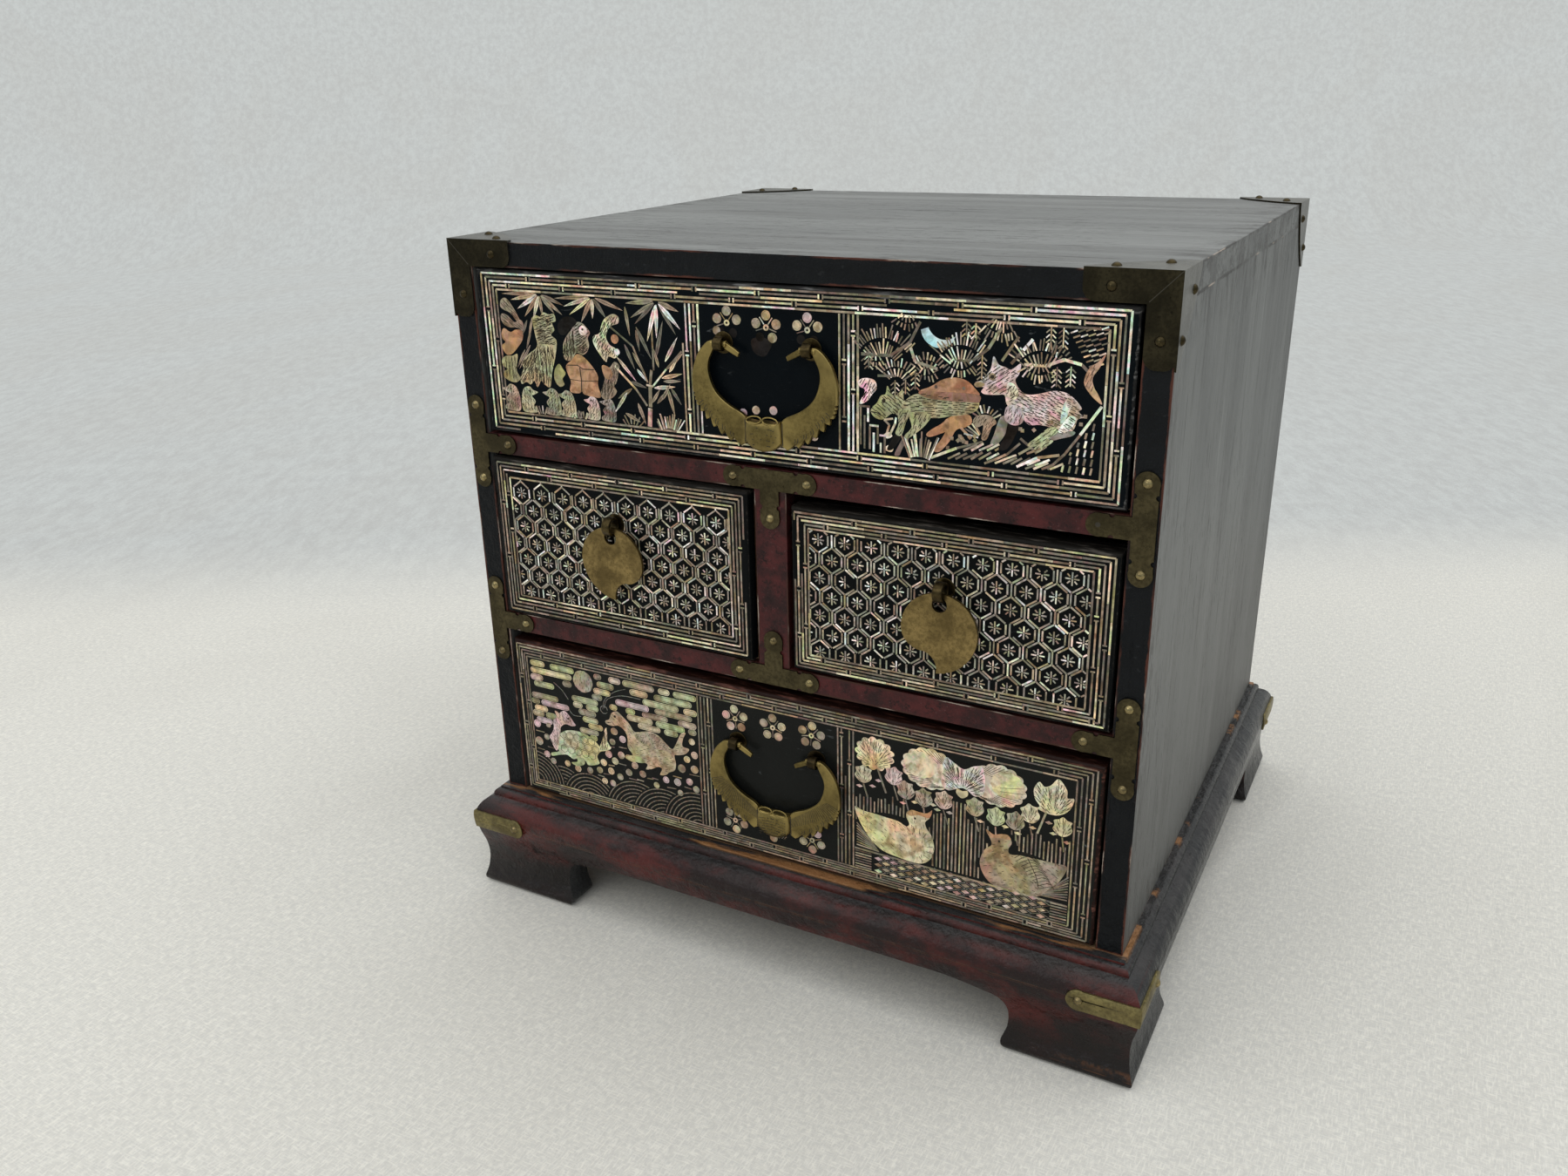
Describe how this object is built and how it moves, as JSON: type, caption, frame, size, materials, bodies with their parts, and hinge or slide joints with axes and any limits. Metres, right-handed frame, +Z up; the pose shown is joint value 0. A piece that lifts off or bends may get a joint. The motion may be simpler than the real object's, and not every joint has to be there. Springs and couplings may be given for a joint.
{
  "type": "drawer chest",
  "caption": "Small lacquered table-top chest: inlaid drawers in rows on a moulded bracket-foot stand, with brass corner caps, bat-shaped bails and hanging pull plates.",
  "frame": {"origin": "on the floor under the middle of the chest, level with the soles of its feet", "axes": "+Z up; the drawers face -Y; +X is to the right of someone facing the drawers"},
  "size_m": [0.3706, 0.3392, 0.3523],
  "materials": {
    "panel_lacquer": "matte dark lacquer over open-grain wood",
    "black_lacquer": "polished blue-black lacquer with flush shell inlay",
    "red_lacquer": "worn dark red lacquer",
    "stand_lacquer": "satin red-brown to black lacquer, scuffed",
    "bare_wood": "plain sawn wood",
    "dark_brass": "aged dark olive brass sheet",
    "aged_brass": "aged brass with worn bright edges",
    "strap_brass": "rubbed brass with pits",
    "nail_brass": "domed brass, polished by handling",
    "mother_of_pearl": "iridescent shell, set flush"
  },
  "bodies": {
    "chest": {"back_panel": "panel_lacquer", "base_back": "stand_lacquer", "base_blocks": "bare_wood", "base_front": "stand_lacquer", "base_left": "stand_lacquer", "base_right": "stand_lacquer", "bottom_board": "bare_wood", "bracket_nails": "nail_brass", "centre_partition": "bare_wood", "centre_post": "red_lacquer", "corner_bracket_front_left": "dark_brass", "corner_bracket_front_right": "dark_brass", "corner_bracket_rear_left": "dark_brass", "corner_bracket_rear_right": "dark_brass", "foot_strap_front_left": "strap_brass", "foot_strap_front_right": "strap_brass", "foot_strap_rear_left": "strap_brass", "foot_strap_rear_right": "strap_brass", "left_side": "panel_lacquer", "lower_dust_board": "bare_wood", "lower_rail": "red_lacquer", "right_side": "panel_lacquer", "tee_bracket_lower_centre": "dark_brass", "tee_bracket_lower_left": "dark_brass", "tee_bracket_lower_right": "dark_brass", "tee_bracket_upper_centre": "dark_brass", "tee_bracket_upper_left": "dark_brass", "tee_bracket_upper_right": "dark_brass", "top_board": "panel_lacquer", "upper_dust_board": "bare_wood", "upper_rail": "red_lacquer"},
    "top_drawer": {"top_drawer_front": "black_lacquer", "top_drawer_left_side": "bare_wood", "top_drawer_right_side": "bare_wood", "top_drawer_back": "bare_wood", "top_drawer_bottom": "bare_wood", "top_bail_cotters": "aged_brass"},
    "left_drawer": {"left_drawer_front": "black_lacquer", "left_drawer_left_side": "bare_wood", "left_drawer_right_side": "bare_wood", "left_drawer_back": "bare_wood", "left_drawer_bottom": "bare_wood", "left_pull_cotter": "aged_brass"},
    "right_drawer": {"right_drawer_front": "black_lacquer", "right_drawer_left_side": "bare_wood", "right_drawer_right_side": "bare_wood", "right_drawer_back": "bare_wood", "right_drawer_bottom": "bare_wood", "right_pull_cotter": "aged_brass"},
    "bottom_drawer": {"bottom_drawer_front": "black_lacquer", "bottom_drawer_left_side": "bare_wood", "bottom_drawer_right_side": "bare_wood", "bottom_drawer_back": "bare_wood", "bottom_drawer_bottom": "bare_wood", "bottom_bail_cotters": "aged_brass"},
    "top_bail_handle": {"top_bail": "aged_brass"},
    "bottom_bail_handle": {"bottom_bail": "aged_brass"},
    "left_pull": {"left_pull_plate": "aged_brass"},
    "right_pull": {"right_pull_plate": "aged_brass"}
  },
  "joints": [
    {"name": "top_drawer_slide", "type": "slide", "parent": "chest", "child": "top_drawer", "axis": [0, -1, 0], "range_m": [0, 0.25]},
    {"name": "left_drawer_slide", "type": "slide", "parent": "chest", "child": "left_drawer", "axis": [0, -1, 0], "range_m": [0, 0.25]},
    {"name": "right_drawer_slide", "type": "slide", "parent": "chest", "child": "right_drawer", "axis": [0, -1, 0], "range_m": [0, 0.25]},
    {"name": "bottom_drawer_slide", "type": "slide", "parent": "chest", "child": "bottom_drawer", "axis": [0, -1, 0], "range_m": [0, 0.25]},
    {"name": "top_bail_swing", "type": "hinge", "parent": "top_drawer", "child": "top_bail_handle", "pos_m": [0.0006, -0.15585, 0.3121], "axis": [-1, 0, 0], "range_deg": [0, 150]},
    {"name": "bottom_bail_swing", "type": "hinge", "parent": "bottom_drawer", "child": "bottom_bail_handle", "pos_m": [0.001, -0.15695, 0.1199], "axis": [-1, 0, 0], "range_deg": [0, 150]},
    {"name": "left_pull_swing", "type": "hinge", "parent": "left_drawer", "child": "left_pull", "pos_m": [-0.0825, -0.15985, 0.2209], "axis": [-1, 0, 0], "range_deg": [0, 150]},
    {"name": "right_pull_swing", "type": "hinge", "parent": "right_drawer", "child": "right_pull", "pos_m": [0.0839, -0.15835, 0.2149], "axis": [-1, 0, 0], "range_deg": [0, 150]}
  ]
}
